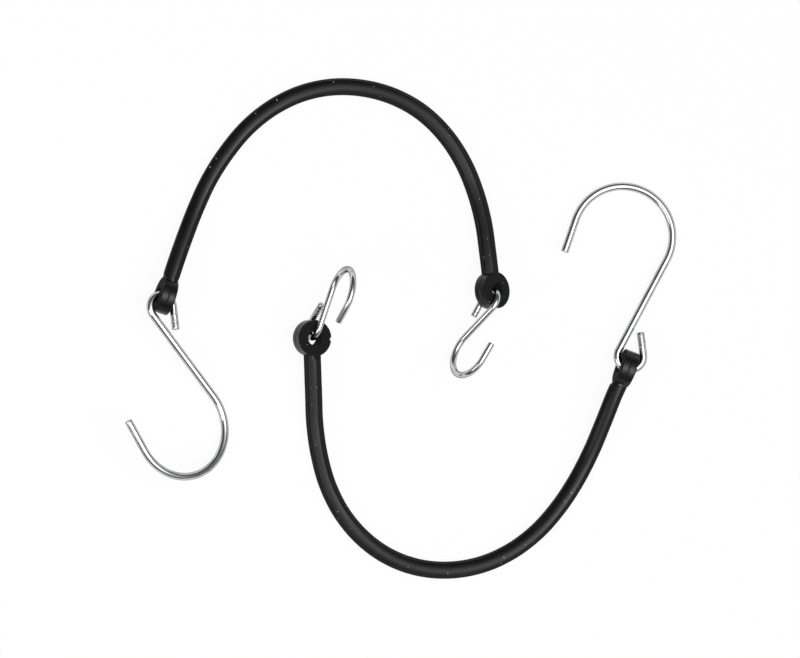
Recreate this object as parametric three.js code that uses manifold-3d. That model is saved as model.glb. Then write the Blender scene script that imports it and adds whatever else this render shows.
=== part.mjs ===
// A pair of short rubber tie-down cords lying loose on a flat surface. Each cord is a moulded rubber
// strap with a thick ring eye at both ends, a large open wire hook closed round the wall of one eye
// and a small one closed round the wall of the other. Millimetres, +Z up, the surface at Z = 0.
import * as THREE from 'three';
import { mergeVertices } from 'three/addons/utils/BufferGeometryUtils.js';
import Module from 'manifold-3d';

// Strap: its length from eye to eye, and an oval section with a flat land on two sides
const STRAP_LENGTH = 333;
const STRAP_WIDTH = 9.5;
const STRAP_THICKNESS = 8.9;
const LAND_WIDTH = 2.6;
const SIDE_FACETS = 5;
const STRAP_STEPS = 40;
const REST_FLAT_DEPTH = 0.9;
const RISE_LENGTH = 58;

// Ring eyes, moulded in one with the strap
const EYE_DIAMETER = 20.8;
const EYE_HOLE = 8.2;
const EYE_THICKNESS = 8.8;
const EYE_EDGE_RADIUS = 1.5;
const EYE_FACETS = 36;

// Clearance between the rubber wall of an eye and the wire bent round it
const LARGE_CLEARANCE = 0.5;
const SMALL_CLEARANCE = 0.28;

// Large hook: wire diameter, straight lengths, bend radius to the middle of the wire, bend angles in degrees
const LARGE_WIRE = 4.3;
const LARGE_TAIL = 13;
const LARGE_EYE_ANGLE = 215;
const LARGE_SHANK = 58.7;
const LARGE_BEND_RADIUS = 28.45;
const LARGE_BEND_ANGLE = 189;
const LARGE_TIP = 19.6;

// Small hook, in the same terms
const SMALL_WIRE = 3.6;
const SMALL_TAIL = 11;
const SMALL_EYE_ANGLE = 208;
const SMALL_SHANK = 23.6;
const SMALL_BEND_RADIUS = 14.4;
const SMALL_BEND_ANGLE = 203.8;
const SMALL_TIP = 10.1;

const WIRE_SIDES = 10;
const BEND_STEP_ANGLE = 8;

// How each cord lies, drawn at one strap length. An eye has its centre, the heading of the strap there on
// the way from the large eye to the small one, the lean of its bore from upright towards the left of that
// way, the height that a hook under it adds, and the turn of its hook. Route points lie between the eyes.
const DRAWN_LENGTH = 333;
const UPPER_CORD = {
  name: 'upper',
  large: {
    centre: [-134.5, 18.55],
    heading: 71.4,
    lean: 76,
    lift: 0,
    hook: { yaw: -53.7, pitch: -12.5, roll: 149.7 },
  },
  small: {
    centre: [51.5, 21.6],
    heading: -83.7,
    lean: 46,
    lift: 0,
    hook: { yaw: -133.3, pitch: -18.7, roll: 55.8 },
  },
  route: [
    [-129.4, 34.4], [-123.5, 51.6], [-117, 68.7], [-109.3, 85.2], [-99.5, 100.5], [-87.7, 114.5],
    [-73.5, 125.8], [-57.1, 133.8], [-39.3, 137.5], [-21.1, 136.7], [-3.6, 131.7], [12.1, 122.6],
    [25.1, 109.8], [35, 94.6], [42, 77.7], [46.6, 60.1], [49.1, 42.1],
  ],
};
const LOWER_CORD = {
  name: 'lower',
  large: {
    centre: [127.55, -22.7],
    heading: -111.2,
    lean: -81.5,
    lift: 0,
    hook: { yaw: 61.9, pitch: -5.6, roll: 1.4 },
  },
  small: {
    centre: [-50.9, -5.5],
    heading: 90,
    lean: -27.2,
    lift: 0.95,
    hook: { yaw: 71.4, pitch: 4.5, roll: 113.3 },
  },
  route: [
    [121.5, -36.4], [114.8, -53.3], [107.8, -70.2], [99.5, -86.4], [89.5, -101.6], [77.5, -115.3],
    [63.1, -126.4], [46.6, -134.1], [28.7, -137.5], [10.6, -136.3], [-6.6, -130.3], [-21.5, -119.9],
    [-33.4, -106.1], [-41.8, -89.9], [-46.8, -72.4], [-49.4, -54.4], [-50.1, -36.2],
  ],
};

// Sizes that follow from the ones above
const LAYOUT_SCALE = STRAP_LENGTH / DRAWN_LENGTH;
const WALL_MIDDLE = (EYE_DIAMETER + EYE_HOLE) / 4;
const WALL_REACH = EYE_EDGE_RADIUS + Math.hypot(
  (EYE_DIAMETER - EYE_HOLE) / 4 - EYE_EDGE_RADIUS,
  EYE_THICKNESS / 2 - EYE_EDGE_RADIUS,
);
const LARGE_HOOK = {
  wire: LARGE_WIRE,
  tail: LARGE_TAIL,
  eyeRadius: WALL_REACH + LARGE_CLEARANCE + LARGE_WIRE / 2,
  eyeAngle: LARGE_EYE_ANGLE,
  shank: LARGE_SHANK,
  bendRadius: LARGE_BEND_RADIUS,
  bendAngle: LARGE_BEND_ANGLE,
  tip: LARGE_TIP,
};
const SMALL_HOOK = {
  wire: SMALL_WIRE,
  tail: SMALL_TAIL,
  eyeRadius: WALL_REACH + SMALL_CLEARANCE + SMALL_WIRE / 2,
  eyeAngle: SMALL_EYE_ANGLE,
  shank: SMALL_SHANK,
  bendRadius: SMALL_BEND_RADIUS,
  bendAngle: SMALL_BEND_ANGLE,
  tip: SMALL_TIP,
};

const MERGE_DISTANCE = 1e-3;
const UP = new THREE.Vector3(0, 0, 1);
const radians = THREE.MathUtils.degToRad;
const wasm = await Module();
wasm.setup();

function toSolid(geometry) {
  const bare = geometry.clone();
  bare.deleteAttribute('normal');
  bare.deleteAttribute('uv');
  const merged = mergeVertices(bare, MERGE_DISTANCE);
  return new wasm.Manifold(new wasm.Mesh({
    numProp: 3,
    vertProperties: merged.attributes.position.array,
    triVerts: new Uint32Array(merged.index.array),
  }));
}

function toGeometry(solid) {
  const mesh = solid.getMesh();
  const geometry = new THREE.BufferGeometry();
  geometry.setAttribute('position', new THREE.BufferAttribute(mesh.vertProperties, 3));
  geometry.setIndex(new THREE.BufferAttribute(mesh.triVerts, 1));
  geometry.computeVertexNormals();
  return geometry;
}

// A centreline given section by section, each with the directions that its outline's x and y follow.
class SectionPath extends THREE.Curve {
  constructor(sections) {
    super();
    this.sections = sections;
  }

  getSpacedPoints() {
    return this.sections.map((section) => section.point);
  }

  computeFrenetFrames() {
    return {
      tangents: this.sections.map((section) => section.tangent),
      normals: this.sections.map((section) => section.normal),
      binormals: this.sections.map((section) => section.binormal),
    };
  }
}

function sweep(outline, sections) {
  return new THREE.ExtrudeGeometry(new THREE.Shape(outline), {
    extrudePath: new SectionPath(sections),
    steps: sections.length - 1,
  });
}

// The strap's outline, an oval cut by the two lands: x across the lands, y from land to land.
function strapOutline() {
  const landEdge = Math.acos(LAND_WIDTH / STRAP_WIDTH);
  const ovalHeight = STRAP_THICKNESS / Math.sin(landEdge);
  const points = [];
  for (const side of [1, -1]) {
    for (let i = 0; i <= SIDE_FACETS; i += 1) {
      const angle = landEdge * (2 * i / SIDE_FACETS - 1);
      const x = STRAP_WIDTH / 2 * Math.cos(angle);
      const y = ovalHeight / 2 * Math.sin(angle);
      points.push(new THREE.Vector2(side * x, side * y));
    }
  }
  return points;
}

// Height of the strap's middle where it lies on its rest flat with its lands leaning by an angle.
function lyingHeight(outline, lean) {
  const depths = outline.map((point) => point.x * Math.sin(lean) - point.y * Math.cos(lean));
  return Math.max(...depths) - REST_FLAT_DEPTH;
}

// An eye's centre, bore axis and the way along the strap there.
function placeEye(eye) {
  const heading = radians(eye.heading);
  const along = new THREE.Vector3(Math.cos(heading), Math.sin(heading), 0);
  const left = new THREE.Vector3().crossVectors(UP, along);
  const lean = radians(eye.lean);
  const bore = left.multiplyScalar(Math.sin(lean)).addScaledVector(UP, Math.cos(lean));
  const rimReach = (EYE_DIAMETER / 2 - EYE_EDGE_RADIUS) * Math.abs(Math.sin(lean));
  const faceReach = (EYE_THICKNESS / 2 - EYE_EDGE_RADIUS) * Math.abs(Math.cos(lean));
  const height = rimReach + faceReach + EYE_EDGE_RADIUS + eye.lift;
  const [x, y] = eye.centre.map((place) => place * LAYOUT_SCALE);
  return { centre: new THREE.Vector3(x, y, height), bore, along };
}

// A ring with rounded edges about its bore axis.
function eyeGeometry({ centre, bore, along }) {
  const inner = EYE_HOLE / 2 + EYE_EDGE_RADIUS;
  const outer = EYE_DIAMETER / 2 - EYE_EDGE_RADIUS;
  const face = EYE_THICKNESS / 2 - EYE_EDGE_RADIUS;
  const corners = [[outer, -face], [outer, face], [inner, face], [inner, -face]];
  const profile = new THREE.Path();
  corners.forEach(([x, y], quarter) => {
    const start = (quarter - 1) * Math.PI / 2;
    profile.absarc(x, y, EYE_EDGE_RADIUS, start, start + Math.PI / 2, false);
  });
  profile.closePath();
  const across = new THREE.Vector3().crossVectors(along, bore);
  const turn = new THREE.Matrix4().makeBasis(across.negate(), bore, along);
  return new THREE.LatheGeometry(profile.getPoints(1), EYE_FACETS).applyMatrix4(turn.setPosition(centre));
}

// The strap's sections from the large eye's wall to the small eye's, rising from the surface to both.
function strapSections(cord, outline, large, small) {
  const start = large.centre.clone().addScaledVector(large.along, WALL_MIDDLE);
  const end = small.centre.clone().addScaledVector(small.along, -WALL_MIDDLE);
  const middle = cord.route.map(([x, y]) => new THREE.Vector3(x, y, 0).multiplyScalar(LAYOUT_SCALE));
  const plan = new THREE.CatmullRomCurve3([start.clone().setZ(0), ...middle, end.clone().setZ(0)]);
  const length = plan.getLength();
  const sections = plan.getSpacedPoints(STRAP_STEPS).map((point, i) => {
    const share = i / STRAP_STEPS;
    const lean = radians(THREE.MathUtils.lerp(cord.large.lean, cord.small.lean, share));
    const lying = lyingHeight(outline, lean);
    const nearLarge = 1 - THREE.MathUtils.smoothstep(share * length, 0, RISE_LENGTH);
    const nearSmall = 1 - THREE.MathUtils.smoothstep((1 - share) * length, 0, RISE_LENGTH);
    point.z = lying + nearLarge * (start.z - lying) + nearSmall * (end.z - lying);
    return { point, lean };
  });
  sections.forEach((section, i) => {
    const before = sections[Math.max(i - 1, 0)].point;
    const after = sections[Math.min(i + 1, STRAP_STEPS)].point;
    section.tangent = after.clone().sub(before).normalize();
    const left = new THREE.Vector3().crossVectors(UP, section.tangent).normalize();
    const upright = new THREE.Vector3().crossVectors(section.tangent, left);
    section.binormal = upright.multiplyScalar(Math.cos(section.lean));
    section.binormal.addScaledVector(left, Math.sin(section.lean));
    section.normal = new THREE.Vector3().crossVectors(section.binormal, section.tangent);
  });
  return sections;
}

// The slab below the surface, under everything in a box.
function slabUnder(box) {
  const size = box.getSize(new THREE.Vector3());
  const centre = box.getCenter(new THREE.Vector3());
  return new THREE.BoxGeometry(2 * size.x, 2 * size.y, size.z).translate(centre.x, centre.y, -size.z / 2);
}

// Strap and both eyes in one, cut flat where the strap rests on the surface.
function strapGeometry(cord, large, small) {
  const outline = strapOutline();
  const tube = sweep(outline, strapSections(cord, outline, large, small));
  const whole = toSolid(tube).add(toSolid(eyeGeometry(large))).add(toSolid(eyeGeometry(small)));
  tube.computeBoundingBox();
  return toGeometry(whole.subtract(toSolid(slabUnder(tube.boundingBox))));
}

// Runs a wire from the origin through straight lengths and left-hand bends, and gives its sections.
function runWire(angle, legs) {
  const point = new THREE.Vector2();
  const stops = [{ point: point.clone(), angle }];
  for (const { straight, radius, turn } of legs) {
    if (straight) {
      point.add(new THREE.Vector2(Math.cos(angle), Math.sin(angle)).multiplyScalar(straight));
      stops.push({ point: point.clone(), angle });
      continue;
    }
    const count = Math.ceil(turn / BEND_STEP_ANGLE);
    const step = radians(turn) / count;
    for (let i = 0; i < count; i += 1) {
      const chord = 2 * radius * Math.sin(step / 2);
      const way = angle + step / 2;
      point.add(new THREE.Vector2(Math.cos(way), Math.sin(way)).multiplyScalar(chord));
      angle += step;
      stops.push({ point: point.clone(), angle });
    }
  }
  return stops;
}

// A hook in its own plane: the shank runs along +X from the origin, the open bend turns to +Y at its
// far end, and the eye bend turns to -Y at the origin and ends in the tail.
function hookGeometry(hook) {
  const open = runWire(0, [
    { straight: hook.shank },
    { radius: hook.bendRadius, turn: hook.bendAngle },
    { straight: hook.tip },
  ]);
  const closed = runWire(Math.PI, [
    { radius: hook.eyeRadius, turn: hook.eyeAngle },
    { straight: hook.tail },
  ]);
  const back = closed.slice(1).reverse().map(({ point, angle }) => ({ point, angle: angle - Math.PI }));
  const sections = [...back, ...open].map(({ point, angle }) => ({
    point: new THREE.Vector3(point.x, point.y, 0),
    tangent: new THREE.Vector3(Math.cos(angle), Math.sin(angle), 0),
    normal: new THREE.Vector3(-Math.sin(angle), Math.cos(angle), 0),
    binormal: UP.clone(),
  }));
  const outline = Array.from({ length: WIRE_SIDES }, (_, i) => {
    const angle = 2 * Math.PI * (i + 0.5) / WIRE_SIDES;
    return new THREE.Vector2(Math.cos(angle), Math.sin(angle)).multiplyScalar(hook.wire / 2);
  });
  return sweep(outline, sections);
}

function rubber() {
  return new THREE.MeshStandardMaterial({ color: 0x161617, roughness: 0.5, metalness: 0 });
}

function zincWire() {
  return new THREE.MeshStandardMaterial({ color: 0xc6c8ca, roughness: 0.28, metalness: 1 });
}

// A hook whose closed bend is centred in the wall of its eye, on the side away from the strap.
function hookMesh(name, hook, turn, { centre, bore }, outward) {
  const mesh = new THREE.Mesh(hookGeometry(hook), zincWire());
  mesh.name = name;
  mesh.rotation.set(radians(turn.roll), -radians(turn.pitch), radians(turn.yaw), 'ZYX');
  const planeNormal = new THREE.Vector3(0, 0, 1).applyEuler(mesh.rotation);
  const toWall = new THREE.Vector3().crossVectors(planeNormal, bore).normalize();
  toWall.multiplyScalar(WALL_MIDDLE * Math.sign(toWall.dot(outward)));
  const fromWall = new THREE.Vector3(0, hook.eyeRadius, 0).applyEuler(mesh.rotation);
  mesh.position.copy(centre).add(toWall).add(fromWall);
  return mesh;
}

function cordGroup(cord) {
  const large = placeEye(cord.large);
  const small = placeEye(cord.small);
  const strap = new THREE.Mesh(strapGeometry(cord, large, small), rubber());
  strap.name = `${cord.name}_strap`;
  const group = new THREE.Group();
  group.add(strap);
  const awayFromStrap = large.along.clone().negate();
  group.add(hookMesh(`${cord.name}_large_hook`, LARGE_HOOK, cord.large.hook, large, awayFromStrap));
  group.add(hookMesh(`${cord.name}_small_hook`, SMALL_HOOK, cord.small.hook, small, small.along));
  return group;
}

const pair = new THREE.Group();
pair.add(cordGroup(UPPER_CORD), cordGroup(LOWER_CORD));

export default pair;
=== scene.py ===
import math

import bpy
import numpy as np
from mathutils import Matrix, Vector


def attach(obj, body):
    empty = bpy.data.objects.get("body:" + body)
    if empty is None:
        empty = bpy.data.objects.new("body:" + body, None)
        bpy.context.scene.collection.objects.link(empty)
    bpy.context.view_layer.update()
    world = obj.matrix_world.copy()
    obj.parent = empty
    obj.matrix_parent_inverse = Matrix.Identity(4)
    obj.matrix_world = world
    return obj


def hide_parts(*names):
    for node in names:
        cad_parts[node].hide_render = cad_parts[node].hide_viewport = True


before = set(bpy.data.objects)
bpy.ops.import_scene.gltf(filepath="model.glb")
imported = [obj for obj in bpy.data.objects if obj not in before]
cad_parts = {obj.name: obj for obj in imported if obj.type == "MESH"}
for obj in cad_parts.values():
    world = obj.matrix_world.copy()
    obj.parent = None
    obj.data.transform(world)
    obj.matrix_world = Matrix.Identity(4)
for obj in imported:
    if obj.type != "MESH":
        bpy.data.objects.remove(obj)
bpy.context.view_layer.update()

MM = 0.001
UP = np.array([0.0, 0.0, 1.0])

# Sizes shared with the solids, in millimetres
STRAP_WIDTH = 9.5
STRAP_THICKNESS = 8.9
LAND_WIDTH = 2.6
REST_FLAT_DEPTH = 0.9
RISE_LENGTH = 58.0
EYE_DIAMETER = 20.8
EYE_HOLE = 8.2
EYE_THICKNESS = 8.8
EYE_EDGE_RADIUS = 1.5
WALL_MIDDLE = (EYE_DIAMETER + EYE_HOLE) / 4
WALL_REACH = EYE_EDGE_RADIUS + math.hypot(
    (EYE_DIAMETER - EYE_HOLE) / 4 - EYE_EDGE_RADIUS, EYE_THICKNESS / 2 - EYE_EDGE_RADIUS
)
LARGE_HOOK = dict(
    wire=4.3, tail=13.0, clearance=0.5, eye_angle=215.0,
    shank=58.7, radius=28.45, angle=189.0, tip=19.6,
)
SMALL_HOOK = dict(
    wire=3.6, tail=11.0, clearance=0.28, eye_angle=208.0,
    shank=23.6, radius=14.4, angle=203.8, tip=10.1,
)

# Where each eye is, how its hook is turned (yaw, pitch, roll), and the strap's route from the large eye
# to the small one, in millimetres and degrees. land_lean is how far the strap's upper land leans to the left
# at the shares of its length in LEAN_SHARES, and nick is where its small eye has a bite out of the rim.
LEAN_SHARES = (0.0, 0.5, 0.75, 1.0)
UPPER = dict(
    name="upper",
    land_lean=(18.0, 6.0, 2.0, -4.0),
    large=dict(centre=(-134.5, 18.55), heading=71.4, lean=76.0, lift=0.0, hook=(-53.7, -12.5, 149.7)),
    small=dict(centre=(51.5, 21.6), heading=-83.7, lean=46.0, lift=0.0, hook=(-133.3, -18.7, 55.8)),
    nick=None,
    route=[
        (-129.4, 34.4), (-123.5, 51.6), (-117, 68.7), (-109.3, 85.2), (-99.5, 100.5), (-87.7, 114.5),
        (-73.5, 125.8), (-57.1, 133.8), (-39.3, 137.5), (-21.1, 136.7), (-3.6, 131.7), (12.1, 122.6),
        (25.1, 109.8), (35, 94.6), (42, 77.7), (46.6, 60.1), (49.1, 42.1),
    ],
)
LOWER = dict(
    name="lower",
    land_lean=(-18.0, -7.0, 0.0, 4.0),
    large=dict(centre=(127.55, -22.7), heading=-111.2, lean=-81.5, lift=0.0, hook=(61.9, -5.6, 1.4)),
    small=dict(centre=(-50.9, -5.5), heading=90.0, lean=-27.2, lift=0.95, hook=(71.4, 4.5, 113.3)),
    nick=-4.0,
    route=[
        (121.5, -36.4), (114.8, -53.3), (107.8, -70.2), (99.5, -86.4), (89.5, -101.6), (77.5, -115.3),
        (63.1, -126.4), (46.6, -134.1), (28.7, -137.5), (10.6, -136.3), (-6.6, -130.3), (-21.5, -119.9),
        (-33.4, -106.1), (-41.8, -89.9), (-46.8, -72.4), (-49.4, -54.4), (-50.1, -36.2),
    ],
)

# Finer sizes that only show on the strap, which is crowned at the large eye and flatter at the small one.
# The outline turns by these angles, in degrees, up to the end of its land, its edge and its corner.
CROWNED = dict(land_turn=27.0, edge_turn=46.0, edge_radius=0.35, corner_turn=50.0, corner_radius=0.6)
FLATTER = dict(land_turn=4.0, edge_turn=22.0, edge_radius=0.6, corner_turn=48.0, corner_radius=4.2)
CROWNED_TO = 0.5
FLATTER_FROM = 0.8
RIDGE_TURN = 86.0
RIDGE_HEIGHT = 0.18
RIDGE_WIDTH = 0.6
MATT_BELOW = 2.9
SATIN_ABOVE = 3.6
STRAP_SECTIONS = 260

# How the strap's ends go into the eyes, and how softly rubber meets the surface it lies on
TUCK_INSIDE = 0.5
TUCK_OUTSIDE = 1.6
TUCK_DEPTH = 0.4
SETTLE_SOFTNESS = 0.15
SETTLE_HEIGHT = 1.5

# Finer sizes of the eyes: shown edges, parting groove, room round the wire, and a bite out of one rim
SHOWN_EDGE_RADIUS = 0.9
GROOVE_DEPTH = 0.28
GROOVE_WIDTH = 0.5
SQUEEZE_GAP = 0.05
NICK_DEPTH = 0.9
NICK_HALF_WIDTH = 1.15
NICK_REACH = 2.6
NICK_HEIGHTS = (-1.0, 1.5)
EYE_SEGMENTS = 240

# Finer sizes of the wires: a step's length and turn, the gripped length of the tail,
# and the cut ends as (distance from the end, share of the radius)
WIRE_STEP = 1.5
WIRE_TURN_STEP = 2.5
WIRE_SIDES = 32
GRIPPED_LENGTH = 10.0
CUT_END_SHAPE = [(0.0, 0.72), (0.07, 0.86), (0.2, 0.95), (0.4, 1.0)]
CUT_END_BULGE = 0.05


def unit(v):
    return v / np.linalg.norm(v)


def smoothstep(x, low, high):
    t = np.clip((x - low) / (high - low), 0.0, 1.0)
    return t * t * (3 - 2 * t)


# Camera: straight above, far away, framed as the photograph
PIXEL = 0.57
IMAGE_WIDTH = 800
CAMERA_HEIGHT = 4000.0
VIEW_CENTRE = (-0.9, -0.285)
SENSOR = 36.0
camera_data = bpy.data.cameras.new("camera")
camera_data.sensor_width = SENSOR
camera_data.lens = SENSOR * CAMERA_HEIGHT / (PIXEL * IMAGE_WIDTH)
camera_data.clip_end = 100
camera = bpy.data.objects.new("camera", camera_data)
camera.location = (VIEW_CENTRE[0] * MM, VIEW_CENTRE[1] * MM, CAMERA_HEIGHT * MM)
bpy.context.scene.collection.objects.link(camera)
bpy.context.scene.camera = camera


def mesh_object(name, points, faces, uvs, material, matt=None):
    """A mesh from points in millimetres, faces as index tuples and one (u, v) per vertex in millimetres.

    matt is how matt the surface is at each vertex, from 0 to 1.
    """
    mesh = bpy.data.meshes.new(name)
    mesh.from_pydata([tuple(p * MM) for p in points], [], faces)
    layer = mesh.uv_layers.new(name="surface")
    corners = np.empty(len(mesh.loops), dtype=np.int32)
    mesh.loops.foreach_get("vertex_index", corners)
    layer.data.foreach_set("uv", np.asarray(uvs, dtype=np.float32)[corners].ravel())
    if matt is not None:
        attribute = mesh.attributes.new("matt", "FLOAT", "POINT")
        attribute.data.foreach_set("value", np.asarray(matt, dtype=np.float32))
    mesh.polygons.foreach_set("use_smooth", [True] * len(mesh.polygons))
    mesh.materials.append(material)
    mesh.update()
    obj = bpy.data.objects.new(name, mesh)
    bpy.context.scene.collection.objects.link(obj)
    return obj


def grid_faces(rows, columns, closed_rows=False):
    """Quads of a grid whose columns close on themselves, and its rows too if asked."""
    faces = []
    for i in range(rows if closed_rows else rows - 1):
        for j in range(columns):
            k = (j + 1) % columns
            n = (i + 1) % rows
            faces.append((i * columns + j, i * columns + k, n * columns + k, n * columns + j))
    return faces


# Materials

RUBBER_BLACK = (0.0032, 0.0033, 0.0033, 1)
RUBBER_BLOOM = (0.0066, 0.0068, 0.0068, 1)
RUBBER_WORN = (0.010, 0.0104, 0.0103, 1)
DUST_GREY = (0.32, 0.32, 0.31, 1)
ZINC_DULL = (0.56, 0.565, 0.57, 1)
ZINC_BRIGHT = (0.70, 0.705, 0.71, 1)
SCAR_GREY = (0.20, 0.198, 0.195, 1)


class Nodes:
    """The node tree of a material or a world, with short calls to add and join nodes."""

    def __init__(self, owner, empty=False):
        owner.use_nodes = True
        self.tree = owner.node_tree
        if empty:
            self.tree.nodes.clear()
        self.shader = self.tree.nodes.get("Principled BSDF")

    def add(self, kind, **values):
        node = self.tree.nodes.new(kind)
        for key, value in values.items():
            setattr(node, key, value)
        return node

    def join(self, source, target):
        self.tree.links.new(source, target)

    def value(self, source, socket):
        """Sets a socket to a constant, or joins another node's output to it."""
        if isinstance(source, bpy.types.NodeSocket):
            self.join(source, socket)
        else:
            socket.default_value = source

    def math(self, operation, a, b):
        node = self.add("ShaderNodeMath", operation=operation)
        self.value(a, node.inputs[0])
        self.value(b, node.inputs[1])
        return node.outputs[0]

    def noise(self, vector, scale, detail, rough):
        node = self.add("ShaderNodeTexNoise")
        self.join(vector, node.inputs["Vector"])
        node.inputs["Scale"].default_value = scale
        node.inputs["Detail"].default_value = detail
        node.inputs["Roughness"].default_value = rough
        return node.outputs["Fac"]

    def stretch(self, vector, scale):
        node = self.add("ShaderNodeMapping")
        self.join(vector, node.inputs["Vector"])
        node.inputs["Scale"].default_value = scale
        return node.outputs["Vector"]

    def ramp(self, factor, stops):
        node = self.add("ShaderNodeValToRGB")
        self.join(factor, node.inputs["Fac"])
        elements = node.color_ramp.elements
        while len(elements) < len(stops):
            elements.new(0.5)
        for element, (place, colour) in zip(elements, stops):
            element.position = place
            element.color = colour if isinstance(colour, tuple) else (colour, colour, colour, 1)
        return node.outputs["Color"]

    def mix(self, factor, a, b):
        node = self.add("ShaderNodeMix", data_type="RGBA")
        self.value(factor, node.inputs["Factor"])
        self.value(a, node.inputs["A"])
        self.value(b, node.inputs["B"])
        return node.outputs["Result"]

    def bump(self, height, strength, distance, normal=None):
        node = self.add("ShaderNodeBump")
        self.join(height, node.inputs["Height"])
        node.inputs["Strength"].default_value = strength
        node.inputs["Distance"].default_value = distance
        if normal is not None:
            self.join(normal, node.inputs["Normal"])
        return node.outputs["Normal"]


def rubber_material():
    """Satin black rubber with a fine grain, streaks along it and a few specks of dust."""
    material = bpy.data.materials.new("satin_black_rubber")
    n = Nodes(material)
    place = n.add("ShaderNodeTexCoord")
    solid = place.outputs["Object"]
    surface = n.stretch(place.outputs["UV"], (1.0, 0.04, 1.0))
    grain = n.noise(solid, scale=2600.0, detail=4.0, rough=0.6)
    bloom = n.noise(solid, scale=95.0, detail=3.0, rough=0.55)
    streaks = n.noise(surface, scale=1.6, detail=3.0, rough=0.6)
    cells = n.add("ShaderNodeTexVoronoi", voronoi_dimensions="2D")
    n.join(place.outputs["UV"], cells.inputs["Vector"])
    cells.inputs["Scale"].default_value = 0.3
    chosen = n.add("ShaderNodeSeparateColor")
    n.join(cells.outputs["Color"], chosen.inputs["Color"])
    rare = n.math("GREATER_THAN", chosen.outputs["Red"], 0.86)
    size = n.math("MULTIPLY", chosen.outputs["Green"], 0.11)
    near = n.math("LESS_THAN", cells.outputs["Distance"], size)
    dust = n.math("MULTIPLY", rare, near)
    base = n.ramp(bloom, [(0.3, RUBBER_BLACK), (0.75, RUBBER_BLOOM)])
    worn = n.mix(n.math("MULTIPLY", streaks, 0.3), base, RUBBER_WORN)
    colour = n.mix(n.math("MULTIPLY", dust, 0.7), worn, DUST_GREY)
    n.join(colour, n.shader.inputs["Base Color"])
    rough = n.math("ADD", n.math("MULTIPLY", bloom, 0.12), n.math("MULTIPLY", streaks, 0.12))
    rough = n.math("ADD", rough, n.math("MULTIPLY", dust, 0.3))
    matt = n.add("ShaderNodeAttribute", attribute_name="matt").outputs["Fac"]
    rough = n.math("ADD", rough, n.math("MULTIPLY", matt, 0.62))
    n.join(n.math("ADD", rough, 0.20), n.shader.inputs["Roughness"])
    n.shader.inputs["Specular IOR Level"].default_value = 0.28
    n.shader.inputs["IOR"].default_value = 1.5
    fine = n.bump(grain, strength=0.10, distance=0.0002)
    lines = n.bump(streaks, strength=0.14, distance=0.0003, normal=fine)
    specks = n.bump(dust, strength=0.5, distance=0.0001, normal=lines)
    n.join(specks, n.shader.inputs["Normal"])
    return material


def zinc_material():
    """Bright zinc with drawing lines and pits, and gripping marks on the tail."""
    material = bpy.data.materials.new("bright_zinc_wire")
    n = Nodes(material)
    place = n.add("ShaderNodeTexCoord")
    solid = place.outputs["Object"]
    along = n.add("ShaderNodeSeparateXYZ")
    n.join(place.outputs["UV"], along.inputs["Vector"])
    lengthwise = n.stretch(place.outputs["UV"], (2.2, 0.05, 1.0))
    drawn = n.noise(lengthwise, scale=1.0, detail=3.0, rough=0.6)
    cloud = n.noise(solid, scale=140.0, detail=3.0, rough=0.5)
    spangle = n.noise(solid, scale=900.0, detail=4.0, rough=0.65)
    pits = n.ramp(n.noise(solid, scale=420.0, detail=2.0, rough=0.5), [(0.70, 0.0), (0.76, 1.0)])
    gripped = n.ramp(n.math("DIVIDE", along.outputs["Y"], GRIPPED_LENGTH), [(0.75, 1.0), (1.0, 0.0)])
    across = n.stretch(place.outputs["UV"], (0.35, 1.5, 1.0))
    teeth = n.ramp(n.noise(across, scale=1.0, detail=2.0, rough=0.5), [(0.52, 0.0), (0.62, 1.0)])
    marks = n.math("MULTIPLY", gripped, teeth)
    scars = n.math("MAXIMUM", pits, n.math("MULTIPLY", marks, 0.8))
    tone = n.ramp(cloud, [(0.3, ZINC_DULL), (0.7, ZINC_BRIGHT)])
    tone = n.mix(n.math("MULTIPLY", scars, 0.6), tone, SCAR_GREY)
    n.join(tone, n.shader.inputs["Base Color"])
    n.shader.inputs["Metallic"].default_value = 1.0
    n.shader.inputs["Specular Tint"].default_value = (0.05, 0.05, 0.05, 1)
    rough = n.math("ADD", n.math("MULTIPLY", drawn, 0.08), n.math("MULTIPLY", spangle, 0.08))
    rough = n.math("ADD", rough, n.math("MULTIPLY", scars, 0.2))
    n.join(n.math("ADD", rough, 0.07), n.shader.inputs["Roughness"])
    lines = n.bump(drawn, strength=0.08, distance=0.0002)
    dents = n.bump(marks, strength=0.4, distance=0.0002, normal=lines)
    fine = n.bump(spangle, strength=0.04, distance=0.0002, normal=dents)
    n.join(fine, n.shader.inputs["Normal"])
    return material


def cut_end_material():
    """Torn bare metal."""
    material = bpy.data.materials.new("sheared_wire_end")
    n = Nodes(material)
    place = n.add("ShaderNodeTexCoord")
    torn = n.stretch(place.outputs["Object"], (1.0, 0.35, 1.0))
    torn = n.noise(torn, scale=1800.0, detail=4.0, rough=0.6)
    n.join(n.ramp(torn, [(0.3, 0.33), (0.7, 0.66)]), n.shader.inputs["Base Color"])
    n.shader.inputs["Metallic"].default_value = 1.0
    n.join(n.math("ADD", n.math("MULTIPLY", torn, 0.2), 0.34), n.shader.inputs["Roughness"])
    n.join(n.bump(torn, strength=0.35, distance=0.0002), n.shader.inputs["Normal"])
    return material


RUBBER = rubber_material()
ZINC = zinc_material()
CUT_END = cut_end_material()


# Straps


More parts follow.
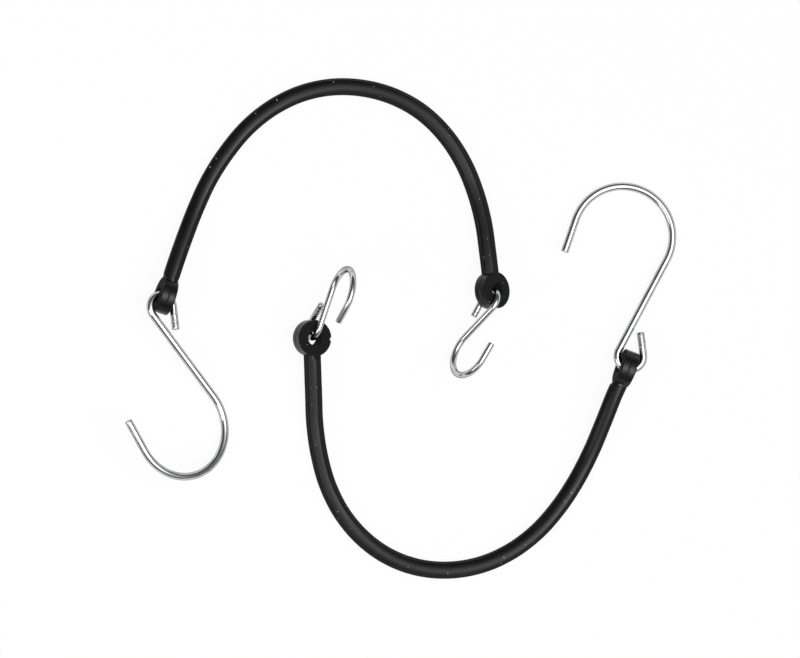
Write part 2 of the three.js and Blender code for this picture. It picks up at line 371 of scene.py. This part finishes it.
def catmull_rom(points, per_span=24):
    """A smooth line through points, as closely spaced points (centripetal)."""
    p = [np.array(q, dtype=float) for q in points]
    p = [2 * p[0] - p[1]] + p + [2 * p[-1] - p[-2]]
    line = []
    for a, b, c, d in zip(p, p[1:], p[2:], p[3:]):
        ta = 0.0
        tb = ta + np.linalg.norm(b - a) ** 0.5
        tc = tb + np.linalg.norm(c - b) ** 0.5
        td = tc + np.linalg.norm(d - c) ** 0.5
        for t in np.linspace(tb, tc, per_span, endpoint=False):
            ab = a + (b - a) * (t - ta) / (tb - ta)
            bc = b + (c - b) * (t - tb) / (tc - tb)
            cd = c + (d - c) * (t - tc) / (td - tc)
            abc = ab + (bc - ab) * (t - ta) / (tc - ta)
            bcd = bc + (cd - bc) * (t - tb) / (td - tb)
            line.append(abc + (bcd - abc) * (t - tb) / (tc - tb))
    line.append(p[-2])
    return np.array(line)


def spaced(line, count):
    """The line at equal distances, and its length."""
    steps = np.linalg.norm(np.diff(line, axis=0), axis=1)
    along = np.concatenate([[0.0], np.cumsum(steps)])
    at = np.linspace(0.0, along[-1], count)
    return np.stack([np.interp(at, along, line[:, k]) for k in range(line.shape[1])], axis=1), along[-1]


def place_eye(eye):
    """Centre, bore axis and the way along the strap of an eye."""
    heading = math.radians(eye["heading"])
    lean = math.radians(eye["lean"])
    along = np.array([math.cos(heading), math.sin(heading), 0.0])
    bore = np.cross(UP, along) * math.sin(lean) + UP * math.cos(lean)
    height = (EYE_DIAMETER / 2 - EYE_EDGE_RADIUS) * abs(math.sin(lean))
    height += (EYE_THICKNESS / 2 - EYE_EDGE_RADIUS) * abs(math.cos(lean)) + EYE_EDGE_RADIUS + eye["lift"]
    return dict(centre=np.array([*eye["centre"], height]), bore=bore, along=along)


# The solids' section: an oval with a flat land above and below, and this many points on each side
LAND_EDGE = math.acos(LAND_WIDTH / STRAP_WIDTH)
OVAL_HEIGHT = STRAP_THICKNESS / math.sin(LAND_EDGE)
SIDE_POINTS = 6


def strap_outline(land_turn, edge_turn, edge_radius, corner_turn, corner_radius):
    """The strap's section: two bowed lands, firm edges, corners, and bowed sides with a low moulding ridge.

    The radii of its lands and sides follow from the strap's width and thickness.
    """
    land, edge, corner = np.radians([land_turn, edge_turn, corner_turn])
    across = edge_radius * (math.sin(edge) - math.sin(land))
    across += corner_radius * (math.sin(corner) - math.sin(edge))
    down = edge_radius * (math.cos(land) - math.cos(edge))
    down += corner_radius * (math.cos(edge) - math.cos(corner))
    land_radius, side_radius = np.linalg.solve(
        [[math.sin(land), 1 - math.sin(corner)], [1 - math.cos(land), math.cos(corner)]],
        [STRAP_WIDTH / 2 - across, STRAP_THICKNESS / 2 - down],
    )
    stretches = [
        (0, land_turn, land_radius, 8),
        (land_turn, edge_turn, edge_radius, 6),
        (edge_turn, corner_turn, corner_radius, 8),
        (corner_turn, RIDGE_TURN, side_radius, 10),
        (RIDGE_TURN, 90, side_radius, 6),
    ]
    x, y = 0.0, STRAP_THICKNESS / 2
    quarter = [(x, y)]
    for start, end, radius, steps in stretches:
        turns = np.radians(np.linspace(start, end, steps + 1))
        for before, turn in zip(turns, turns[1:]):
            x += radius * (math.sin(turn) - math.sin(before))
            y += radius * (math.cos(turn) - math.cos(before))
            quarter.append((x + RIDGE_HEIGHT * max(0.0, 1 - (2 * y / RIDGE_WIDTH) ** 2), y))
    quarter = np.array(quarter)
    back = quarter[::-1]
    return np.concatenate([back, quarter[1:] * (-1, 1), back[1:] * (-1, -1), quarter[1:-1] * (1, -1)])


def lying_height(lean):
    """How high the middle of the solids' strap lies when its section leans, on the flat it rests on."""
    angles = np.linspace(-LAND_EDGE, LAND_EDGE, SIDE_POINTS)
    x = STRAP_WIDTH / 2 * np.cos(angles)
    y = OVAL_HEIGHT / 2 * np.sin(angles)
    depth = np.abs(np.concatenate([x, -x]) * math.sin(lean) - np.concatenate([y, -y]) * math.cos(lean))
    return depth.max() - REST_FLAT_DEPTH


def strap_sections(cord, large, small):
    """Points of the strap's middle with the directions of its outline's x and y, and its length."""
    start = large["centre"] + large["along"] * WALL_MIDDLE
    end = small["centre"] - small["along"] * WALL_MIDDLE
    plan, length = spaced(catmull_rom([start[:2], *cord["route"], end[:2]]), STRAP_SECTIONS)
    share = np.linspace(0.0, 1.0, STRAP_SECTIONS)
    leans = np.radians(cord["large"]["lean"] + (cord["small"]["lean"] - cord["large"]["lean"]) * share)
    lying = np.array([lying_height(lean) for lean in leans])
    near_large = 1 - smoothstep(share * length, 0.0, RISE_LENGTH)
    near_small = 1 - smoothstep((1 - share) * length, 0.0, RISE_LENGTH)
    z = lying + near_large * (start[2] - lying) + near_small * (end[2] - lying)
    middle = np.column_stack([plan, z])
    sections = []
    turns = np.radians(np.interp(share, LEAN_SHARES, cord["land_lean"]))
    for i, lean in enumerate(turns):
        tangent = unit(middle[min(i + 1, STRAP_SECTIONS - 1)] - middle[max(i - 1, 0)])
        left = unit(np.cross(UP, tangent))
        upright = np.cross(tangent, left)
        y_way = upright * math.cos(lean) + left * math.sin(lean)
        sections.append((middle[i], np.cross(y_way, tangent), y_way))
    return sections, length


def settle(points):
    """Lifts what would be under the surface, with a soft edge to the contact."""
    z = points[:, 2]
    soft = 0.5 * (z + np.sqrt(z * z + SETTLE_SOFTNESS * SETTLE_SOFTNESS))
    points[:, 2] = np.where(z < SETTLE_HEIGHT, soft, z)
    return points


def tuck(points, eye):
    """Keeps the strap's end between the faces of the eye it runs into."""
    offset = points - eye["centre"]
    depth = offset @ eye["bore"]
    radial = np.linalg.norm(offset - np.outer(depth, eye["bore"]), axis=1)
    held = 1 - smoothstep(radial, EYE_DIAMETER / 2 - TUCK_INSIDE, EYE_DIAMETER / 2 + TUCK_OUTSIDE)
    over = np.maximum(np.abs(depth) - (EYE_THICKNESS / 2 - TUCK_DEPTH), 0.0) * np.sign(depth)
    return points - np.outer(over * held, eye["bore"])


def strap_object(cord, sections, length, eyes):
    """A strap along its sections, matt on its sides."""
    crowned = strap_outline(**CROWNED)
    flatter = strap_outline(**FLATTER)
    around = np.concatenate([[0.0], np.cumsum(np.linalg.norm(np.diff(flatter, axis=0), axis=1))])
    points, uvs, matt = [], [], []
    for i, (middle, x_way, y_way) in enumerate(sections):
        share = i / (len(sections) - 1)
        outline = crowned + (flatter - crowned) * smoothstep(share, CROWNED_TO, FLATTER_FROM)
        points.extend(middle + x * x_way + y * y_way for x, y in outline)
        uvs.extend((u, length * share) for u in around)
        matt.extend(1 - smoothstep(np.abs(outline[:, 1]), MATT_BELOW, SATIN_ABOVE))
    count = len(flatter)
    faces = grid_faces(len(sections), count)
    faces.append(tuple(reversed(range(count))))
    faces.append(tuple(range((len(sections) - 1) * count, len(sections) * count)))
    points = np.array(points)
    for eye in eyes:
        points = tuck(points, eye)
    return mesh_object(cord["name"] + "_strap_cord", settle(points), faces, uvs, RUBBER, matt)


# Eyes


def eye_profile():
    """The ring's closed section as (radius, height): rounded edges, and a parting groove round the rim."""
    inner = EYE_HOLE / 2
    outer = EYE_DIAMETER / 2
    half = EYE_THICKNESS / 2
    r = SHOWN_EDGE_RADIUS
    points = []

    def corner(x, y, start):
        for a in np.radians(np.linspace(start, start + 90, 7)):
            points.append((x + r * math.cos(a), y + r * math.sin(a)))

    corner(outer - r, -half + r, -90)
    for y in np.linspace(-half + r, -GROOVE_WIDTH, 5)[1:]:
        points.append((outer, y))
    for y in np.linspace(-GROOVE_WIDTH / 2, GROOVE_WIDTH / 2, 7):
        points.append((outer - GROOVE_DEPTH * (1 - (2 * y / GROOVE_WIDTH) ** 2), y))
    for y in np.linspace(GROOVE_WIDTH, half - r, 5)[:-1]:
        points.append((outer, y))
    corner(outer - r, half - r, 0)
    for x in np.linspace(outer - r, inner + r, 6)[1:-1]:
        points.append((x, half))
    corner(inner + r, half - r, 90)
    for y in np.linspace(half - r, -half + r, 6)[1:-1]:
        points.append((inner, y))
    corner(inner + r, -half + r, 180)
    for x in np.linspace(inner + r, outer - r, 6)[1:-1]:
        points.append((x, -half))
    return np.array(points)


def squeeze(points, line, reach):
    """Pushes points that are nearer than reach to a line of points straight away from it."""
    starts, ways = line[:-1], np.diff(line, axis=0)
    spans = (ways * ways).sum(axis=1)
    for i, point in enumerate(points):
        share = np.clip(((point - starts) * ways).sum(axis=1) / spans, 0.0, 1.0)
        nearest = starts + ways * share[:, None]
        distances = np.linalg.norm(point - nearest, axis=1)
        k = distances.argmin()
        if distances[k] < reach:
            points[i] = nearest[k] + (point - nearest[k]) * reach / distances[k]
    return points


def pressed_profile(eye, wire):
    """The ring's section, pushed off every place where its wire passes as it swings about the bore."""
    offset = wire["line"] - eye["centre"]
    heights = offset @ eye["bore"]
    radii = np.linalg.norm(offset - np.outer(heights, eye["bore"]), axis=1)
    return squeeze(eye_profile(), np.column_stack([radii, heights]), wire["radius"] + SQUEEZE_GAP)


def eye_object(name, eye, wire, nick=None):
    """A moulded ring about its bore, pressed in by its wire, with matt faces.

    nick is the angle, seen from above, of a bite out of its upper rim.
    """
    profile = pressed_profile(eye, wire)
    bore = eye["bore"]
    x_way = eye["along"]
    y_way = np.cross(bore, x_way)
    around = np.concatenate([[0.0], np.cumsum(np.linalg.norm(np.diff(profile, axis=0), axis=1))])
    points, uvs = [], []
    for j in range(EYE_SEGMENTS):
        angle = 2 * math.pi * j / EYE_SEGMENTS
        way = x_way * math.cos(angle) + y_way * math.sin(angle)
        bite = 0.0
        if nick is not None:
            plan = math.atan2(way[1], way[0]) - math.radians(nick)
            off = EYE_DIAMETER / 2 * math.atan2(math.sin(plan), math.cos(plan))
            bite = NICK_DEPTH * math.sqrt(max(0.0, 1 - (off / NICK_HALF_WIDTH) ** 2))
        for (radius, height), u in zip(profile, around):
            share = smoothstep(radius, EYE_DIAMETER / 2 - NICK_REACH, EYE_DIAMETER / 2)
            share *= smoothstep(height, *NICK_HEIGHTS)
            points.append(eye["centre"] + way * (radius - bite * share) + bore * height)
            uvs.append((u, EYE_DIAMETER / 2 * angle))
    points = settle(np.array(points))
    faces = [tuple(reversed(f)) for f in grid_faces(EYE_SEGMENTS, len(profile), closed_rows=True)]
    on_face = smoothstep(np.abs(profile[:, 1]), EYE_THICKNESS / 2 - SHOWN_EDGE_RADIUS, EYE_THICKNESS / 2)
    in_hole = 1 - smoothstep(profile[:, 0], EYE_HOLE / 2, EYE_HOLE / 2 + SHOWN_EDGE_RADIUS)
    matt = np.tile(np.maximum(on_face, in_hole), EYE_SEGMENTS)
    return mesh_object(name, points, faces, uvs, RUBBER, matt)


# Hooks


def wire_line(hook):
    """A hook's middle line in its own plane, from the tail's end to the tip's end, with its angles."""
    eye_radius = WALL_REACH + hook["clearance"] + hook["wire"] / 2

    def run(angle, legs):
        point = np.zeros(2)
        stops = [(point.copy(), angle)]
        for straight, radius, turn in legs:
            count = max(2, round(straight / WIRE_STEP)) if straight else round(turn / WIRE_TURN_STEP)
            for _ in range(count):
                step = 0.0 if straight else math.radians(turn) / count
                chord = straight / count if straight else 2 * radius * math.sin(step / 2)
                way = angle + step / 2
                point = point + chord * np.array([math.cos(way), math.sin(way)])
                angle += step
                stops.append((point.copy(), angle))
        return stops

    open_end = run(0.0, [(hook["shank"], 0, 0), (0, hook["radius"], hook["angle"]), (hook["tip"], 0, 0)])
    closed_end = run(math.pi, [(0, eye_radius, hook["eye_angle"]), (hook["tail"], 0, 0)])
    back = [(point, angle - math.pi) for point, angle in reversed(closed_end[1:])]
    return back + open_end, eye_radius


def place_wire(hook, turn, eye, outward):
    """Where a hook is: its rotation and origin, its middle line in its own plane and in the world."""
    stops, eye_radius = wire_line(hook)
    yaw, pitch, roll = (math.radians(v) for v in turn)
    rotation = Matrix.Rotation(yaw, 3, "Z") @ Matrix.Rotation(-pitch, 3, "Y") @ Matrix.Rotation(roll, 3, "X")
    rotation = np.array(rotation)
    to_wall = unit(np.cross(rotation[:, 2], eye["bore"]))
    to_wall = to_wall * WALL_MIDDLE * np.sign(to_wall @ outward)
    origin = eye["centre"] + to_wall + rotation[:, 1] * eye_radius
    line = np.array([[*point, 0.0] for point, _ in stops]) @ rotation.T + origin
    return dict(stops=stops, rotation=rotation, origin=origin, line=line, radius=hook["wire"] / 2)


def hook_object(name, wire):
    """A bent round wire with sheared ends."""
    stops, radius = wire["stops"], wire["radius"]
    first, first_angle = stops[0]
    last, last_angle = stops[-1]

    def step(point, angle, distance):
        return point + distance * np.array([math.cos(angle), math.sin(angle)])

    rings = [(step(first, first_angle, d), first_angle, share) for d, share in CUT_END_SHAPE]
    rings += [(point, angle, 1.0) for point, angle in stops[1:-1]]
    rings += [(step(last, last_angle, -d), last_angle, share) for d, share in reversed(CUT_END_SHAPE)]
    points, uvs = [], []
    along = 0.0
    for i, (point, angle, share) in enumerate(rings):
        if i:
            along += np.linalg.norm(point - rings[i - 1][0])
        normal = np.array([-math.sin(angle), math.cos(angle)])
        for j in range(WIRE_SIDES):
            a = 2 * math.pi * j / WIRE_SIDES
            across = radius * share * math.cos(a)
            points.append(np.array([*(point + normal * across), radius * share * math.sin(a)]))
            uvs.append((radius * a, along))
    faces = grid_faces(len(rings), WIRE_SIDES)
    side_count = len(faces)
    ends = [(0, -1, first, first_angle), (len(rings) - 1, 1, last, last_angle)]
    for row, sign, point, angle in ends:
        centre = len(points)
        points.append(np.array([*step(point, angle, sign * CUT_END_BULGE), 0.0]))
        uvs.append((0.0, 0.0))
        for j in range(WIRE_SIDES):
            k = (j + 1) % WIRE_SIDES
            pair = (row * WIRE_SIDES + j, row * WIRE_SIDES + k)
            faces.append((centre, *pair) if sign > 0 else (centre, pair[1], pair[0]))
    points = np.array(points) @ wire["rotation"].T + wire["origin"]
    obj = mesh_object(name, points, faces, uvs, ZINC)
    obj.data.materials.append(CUT_END)
    for polygon in obj.data.polygons[side_count:]:
        polygon.material_index = 1
    return obj


def build_cord(cord):
    """Builds a cord's strap, eyes and hooks, and tells the frame what each of them is."""
    name = cord["name"]
    body = name + "_cord"
    large = place_eye(cord["large"])
    small = place_eye(cord["small"])
    wires = {
        "large": place_wire(LARGE_HOOK, cord["large"]["hook"], large, -large["along"]),
        "small": place_wire(SMALL_HOOK, cord["small"]["hook"], small, small["along"]),
    }
    sections, length = strap_sections(cord, large, small)
    strap = strap_object(cord, sections, length, (large, small))
    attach(strap, body)
    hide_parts(name + "_strap")
    eyes = [
        eye_object(name + "_large_eye", large, wires["large"]),
        eye_object(name + "_small_eye", small, wires["small"], cord["nick"]),
    ]
    for eye in eyes:
        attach(eye, body)
    for kind, wire in wires.items():
        hook = hook_object(f"{name}_{kind}_wire", wire)
        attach(hook, f"{name}_{kind}_hook_body")
        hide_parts(f"{name}_{kind}_hook")


build_cord(UPPER)
build_cord(LOWER)


# Floor, world and lamps

# Sizes of the floor, in metres, and its colour
FLOOR_HALF = 40.0
FLOOR_DROP = 0.0001
FLOOR_WHITE = (0.94, 0.94, 0.94, 1)
# How much of the floor is plain white where it is seen: the rest keeps the shadows
FLOOR_CLEAR_SHARE = 0.93
# The way to the soft light, and its strength by the angle from there, in degrees
LIGHT_WAY = (0.36, -0.12, 1.0)
LIGHT_BY_ANGLE = [
    (0, 5.0), (8, 4.3), (14, 3.2), (20, 2.3), (26, 1.5), (33, 0.75), (42, 0.26), (55, 0.13), (70, 0.08),
]
# Between these heights, on a ball of radius 1, the white wall fades out
WALL_TOP = (0.06, 0.09)


def floor_material():
    """White where the camera or a reflection sees it, with part of a matt floor's shadows."""
    material = bpy.data.materials.new("white_floor")
    n = Nodes(material, empty=True)
    path = n.add("ShaderNodeLightPath")
    seen = n.math("MAXIMUM", path.outputs["Is Camera Ray"], path.outputs["Is Glossy Ray"])
    seen = n.math("MAXIMUM", seen, path.outputs["Is Transmission Ray"])
    matt = n.add("ShaderNodeBsdfDiffuse")
    matt.inputs["Color"].default_value = FLOOR_WHITE
    glow = n.add("ShaderNodeEmission")
    glow.inputs["Color"].default_value = (1, 1, 1, 1)
    mix = n.add("ShaderNodeMixShader")
    n.join(n.math("MULTIPLY", seen, FLOOR_CLEAR_SHARE), mix.inputs["Fac"])
    n.join(matt.outputs["BSDF"], mix.inputs[1])
    n.join(glow.outputs["Emission"], mix.inputs[2])
    n.join(mix.outputs["Shader"], n.add("ShaderNodeOutputMaterial").inputs["Surface"])
    return material


def floor_object():
    mesh = bpy.data.meshes.new("floor")
    corners = [(x * FLOOR_HALF, y * FLOOR_HALF, 0) for x, y in ((-1, -1), (1, -1), (1, 1), (-1, 1))]
    mesh.from_pydata(corners, [], [(0, 1, 2, 3)])
    mesh.materials.append(floor_material())
    floor = bpy.data.objects.new("floor", mesh)
    floor.location = (0, 0, -FLOOR_DROP)
    bpy.context.scene.collection.objects.link(floor)


def studio_world():
    """A dim room with one large soft light, a little to the right of overhead, and a white wall low down."""
    world = bpy.data.worlds.new("studio")
    bpy.context.scene.world = world
    n = Nodes(world, empty=True)
    place = n.add("ShaderNodeTexCoord").outputs["Generated"]
    facing = n.add("ShaderNodeVectorMath", operation="DOT_PRODUCT")
    n.join(place, facing.inputs[0])
    facing.inputs[1].default_value = Vector(LIGHT_WAY).normalized()
    brightest = LIGHT_BY_ANGLE[0][1]
    stops = [(math.cos(math.radians(angle)), light / brightest) for angle, light in reversed(LIGHT_BY_ANGLE)]
    overhead = n.math("MULTIPLY", n.ramp(facing.outputs["Value"], stops), brightest)
    split = n.add("ShaderNodeSeparateXYZ")
    n.join(place, split.inputs["Vector"])
    wall = n.add("ShaderNodeMapRange", interpolation_type="SMOOTHSTEP")
    n.join(split.outputs["Z"], wall.inputs["Value"])
    wall.inputs["From Min"].default_value, wall.inputs["From Max"].default_value = WALL_TOP
    wall.inputs["To Min"].default_value = 1.0
    wall.inputs["To Max"].default_value = 0.0
    room = n.add("ShaderNodeBackground")
    n.join(n.math("MAXIMUM", overhead, wall.outputs["Result"]), room.inputs["Strength"])
    room.inputs["Color"].default_value = (1, 1, 1, 1)
    n.join(room.outputs["Background"], n.add("ShaderNodeOutputWorld").inputs["Surface"])


def softbox(name, place, size, power):
    """A square lamp that faces the middle of the object."""
    light = bpy.data.lights.new(name, "AREA")
    light.shape = "SQUARE"
    light.size = size
    light.energy = power
    obj = bpy.data.objects.new(name, light)
    obj.location = place
    obj.rotation_euler = (-Vector(place)).to_track_quat("-Z", "Y").to_euler()
    bpy.context.scene.collection.objects.link(obj)


floor_object()
studio_world()
softbox("softbox_right", place=(0.52, -0.17, 1.4), size=0.6, power=3.0)
softbox("softbox_left", place=(-0.91, -0.42, 1.11), size=0.7, power=4.2)

bpy.context.scene.view_settings.view_transform = "Standard"
